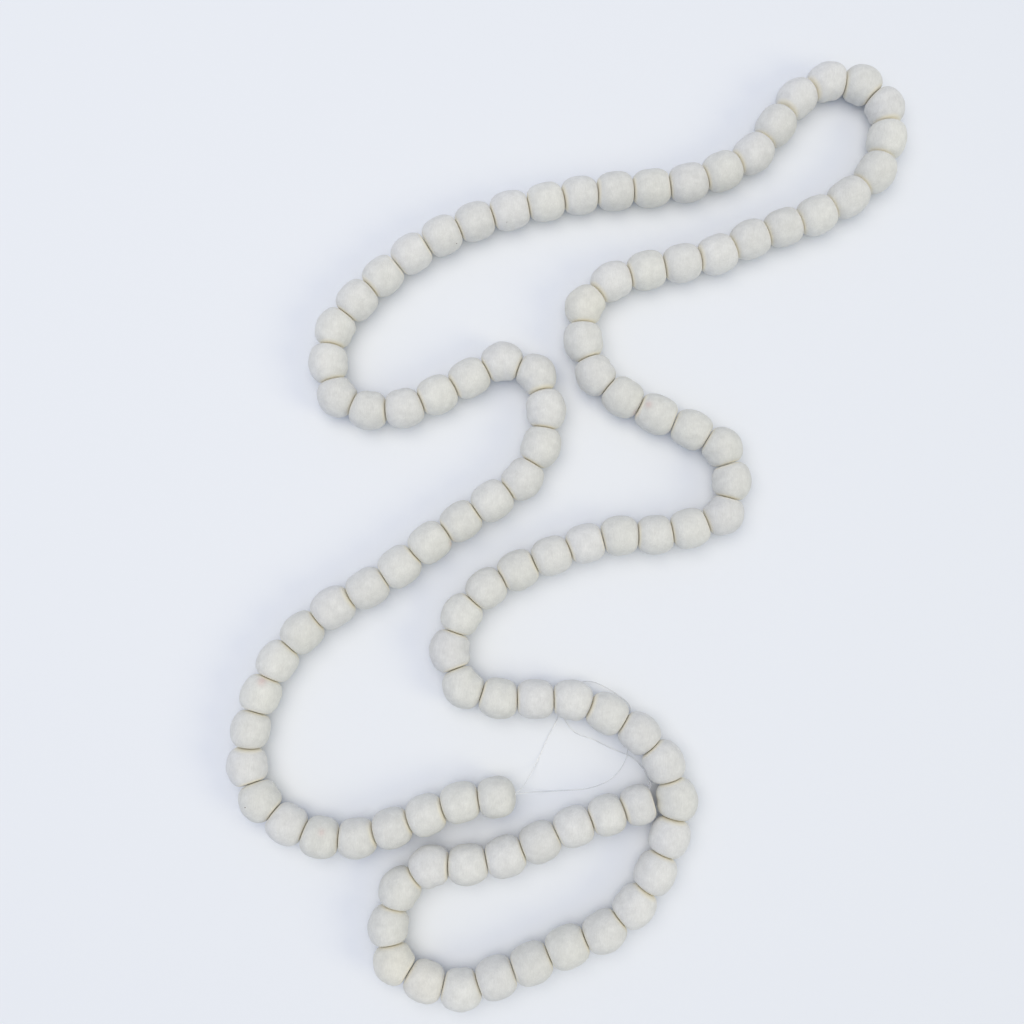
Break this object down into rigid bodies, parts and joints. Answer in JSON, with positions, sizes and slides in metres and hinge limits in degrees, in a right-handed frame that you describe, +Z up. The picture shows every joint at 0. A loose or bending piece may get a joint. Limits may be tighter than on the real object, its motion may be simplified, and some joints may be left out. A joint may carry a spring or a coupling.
{
  "type": "felt ball garland",
  "caption": "Garland of round wool felt balls pressed close together on one clear thread, laid in loose bends on a flat surface, with a free thread loop at each end.",
  "frame": {"origin": "on the surface that the garland lies on, under the middle of the balls' bounding box", "axes": "+Z up from the surface, +Y along the longest side of the laid-out garland, towards its far loop, +X to the right of that"},
  "size_m": [0.438, 0.6058, 0.0246],
  "materials": {
    "wool_felt": "matt off-white wool felt with a fine short fuzz",
    "clear_thread": "clear glossy nylon filament"
  },
  "bodies": {
    "root": {"ball_pair_01": "wool_felt", "ball_pair_02": "wool_felt", "ball_pair_03": "wool_felt", "ball_pair_04": "wool_felt", "ball_pair_05": "wool_felt", "ball_pair_06": "wool_felt", "ball_pair_07": "wool_felt", "ball_pair_08": "wool_felt", "ball_pair_09": "wool_felt", "ball_pair_10": "wool_felt", "ball_pair_11": "wool_felt", "ball_pair_12": "wool_felt", "ball_pair_13": "wool_felt", "ball_pair_14": "wool_felt", "ball_pair_15": "wool_felt", "ball_pair_16": "wool_felt", "ball_pair_17": "wool_felt", "ball_pair_18": "wool_felt", "ball_pair_19": "wool_felt", "ball_pair_20": "wool_felt", "ball_pair_21": "wool_felt", "ball_pair_22": "wool_felt", "ball_pair_23": "wool_felt", "ball_pair_24": "wool_felt", "ball_pair_25": "wool_felt", "ball_pair_26": "wool_felt", "ball_pair_27": "wool_felt", "ball_pair_28": "wool_felt", "ball_pair_29": "wool_felt", "ball_pair_30": "wool_felt", "ball_pair_31": "wool_felt", "ball_pair_32": "wool_felt", "ball_pair_33": "wool_felt", "ball_pair_34": "wool_felt", "ball_pair_35": "wool_felt", "ball_pair_36": "wool_felt", "ball_pair_37": "wool_felt", "ball_pair_38": "wool_felt", "ball_pair_39": "wool_felt", "ball_pair_40": "wool_felt", "ball_pair_41": "wool_felt", "ball_pair_42": "wool_felt", "ball_pair_43": "wool_felt", "ball_pair_44": "wool_felt", "ball_pair_45": "wool_felt", "ball_pair_46": "wool_felt", "ball_pair_47": "wool_felt", "ball_pair_48": "wool_felt", "ball_pair_49": "wool_felt", "ball_pair_50": "wool_felt", "ball_pair_51": "wool_felt", "ball_pair_52": "wool_felt", "thread_loop_start": "clear_thread", "thread_loop_end": "clear_thread"}
  },
  "joints": []
}
